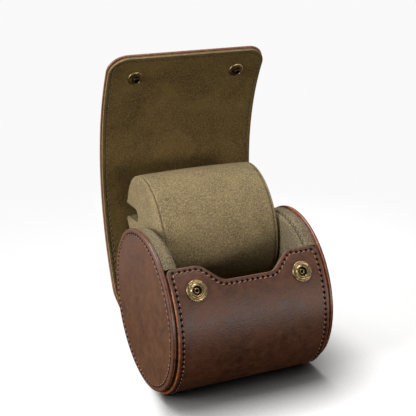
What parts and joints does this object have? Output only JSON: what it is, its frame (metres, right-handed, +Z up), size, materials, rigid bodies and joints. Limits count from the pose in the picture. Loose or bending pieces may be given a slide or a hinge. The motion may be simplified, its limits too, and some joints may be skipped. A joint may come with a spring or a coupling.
{
  "type": "watch travel case",
  "caption": "Oval leather drum case on its side for one wristwatch, with a soft suede pillow and a strip lid that wraps over the drum and snaps shut at the front.",
  "frame": {"origin": "on the flat base, straight below the drum's axis, midway between the ends", "axes": "+X along the drum to its right end, -Y to the front with the snap sockets, +Z up"},
  "size_m": [0.094, 0.1035, 0.1712],
  "materials": {
    "brown_leather": "satin",
    "burnished_edge": "satin",
    "end_board": "matte",
    "greyboard": "matte",
    "felt_padding": "matte",
    "foam": "matte",
    "pale_suede": "matte",
    "olive_suede": "matte",
    "spring_wire": "satin",
    "aged_brass": "satin"
  },
  "bodies": {
    "drum": {"left_disc": "brown_leather", "right_disc": "brown_leather", "left_welt": "burnished_edge", "right_welt": "burnished_edge", "left_end_board": "end_board", "right_end_board": "end_board", "left_band_pad": "foam", "right_band_pad": "foam", "left_band": "pale_suede", "right_band": "pale_suede", "left_lining": "pale_suede", "right_lining": "pale_suede", "wrap_leather": "brown_leather", "wrap_board": "greyboard", "wrap_lining": "olive_suede", "socket_rings": "aged_brass", "socket_springs": "spring_wire", "socket_rivets": "aged_brass"},
    "lid_1": {"lid_leather_1": "brown_leather", "lid_padding_1": "felt_padding", "lid_lining_1": "olive_suede"},
    "lid_2": {"lid_leather_2": "brown_leather", "lid_padding_2": "felt_padding", "lid_lining_2": "olive_suede"},
    "lid_3": {"lid_leather_3": "brown_leather", "lid_padding_3": "felt_padding", "lid_lining_3": "olive_suede"},
    "lid_4": {"lid_leather_4": "brown_leather", "lid_padding_4": "felt_padding", "lid_lining_4": "olive_suede"},
    "lid_5": {"lid_leather_5": "brown_leather", "lid_padding_5": "felt_padding", "lid_lining_5": "olive_suede"},
    "lid_6": {"lid_leather_6": "brown_leather", "lid_padding_6": "felt_padding", "lid_lining_6": "olive_suede"},
    "lid_7": {"lid_leather_7": "brown_leather", "lid_padding_7": "felt_padding", "lid_lining_7": "olive_suede"},
    "lid_8": {"lid_leather_8": "brown_leather", "lid_padding_8": "felt_padding", "lid_lining_8": "olive_suede", "snap_studs": "aged_brass", "snap_caps": "aged_brass"},
    "pillow": {"pillow_core": "foam", "pillow_cover": "pale_suede", "left_pillow_cap": "pale_suede", "right_pillow_cap": "pale_suede"}
  },
  "joints": [
    {"name": "lid_fold", "type": "hinge", "parent": "drum", "child": "lid_1", "pos_m": [0, 0.0361, 0.022], "axis": [1, 0, 0], "range_deg": [0, 7.86]},
    {"name": "lid_fold_2", "type": "hinge", "parent": "lid_1", "child": "lid_2", "pos_m": [0, 0.04497, 0.03932], "axis": [1, 0, 0], "range_deg": [0, 10.8]},
    {"name": "lid_fold_3", "type": "hinge", "parent": "lid_2", "child": "lid_3", "pos_m": [0, 0.05189, 0.05751], "axis": [1, 0, 0], "range_deg": [0, 20.26]},
    {"name": "lid_fold_4", "type": "hinge", "parent": "lid_3", "child": "lid_4", "pos_m": [0, 0.0566, 0.07639], "axis": [1, 0, 0], "range_deg": [0, 23.31]},
    {"name": "lid_fold_5", "type": "hinge", "parent": "lid_4", "child": "lid_5", "pos_m": [0, 0.05882, 0.09573], "axis": [1, 0, 0], "range_deg": [0, 21.81]},
    {"name": "lid_fold_6", "type": "hinge", "parent": "lid_5", "child": "lid_6", "pos_m": [0, 0.05829, 0.11518], "axis": [1, 0, 0], "range_deg": [0, 17.68]},
    {"name": "snap_press", "type": "hinge", "parent": "lid_6", "child": "lid_7", "pos_m": [0, 0.05485, 0.13433], "axis": [1, 0, 0], "range_deg": [0, 12.33]},
    {"name": "snap_press_tip", "type": "hinge", "parent": "lid_7", "child": "lid_8", "pos_m": [0, 0.04836, 0.15268], "axis": [1, 0, 0], "range_deg": [0, 7.69]},
    {"name": "pillow_sink", "type": "slide", "parent": "drum", "child": "pillow", "axis": [0, -0.5, -0.866], "range_m": [0, 0.042]}
  ],
  "couplings": [
    {"joint": "lid_fold_2", "follows": "lid_fold", "ratio": 1.3726},
    {"joint": "lid_fold_3", "follows": "lid_fold", "ratio": 2.5766},
    {"joint": "lid_fold_4", "follows": "lid_fold", "ratio": 2.9639},
    {"joint": "lid_fold_5", "follows": "lid_fold", "ratio": 2.7734},
    {"joint": "lid_fold_6", "follows": "lid_fold", "ratio": 2.2475},
    {"joint": "pillow_sink", "follows": "lid_fold", "m_per_rad": 0.30601},
    {"joint": "snap_press_tip", "follows": "snap_press", "ratio": 0.62384}
  ]
}
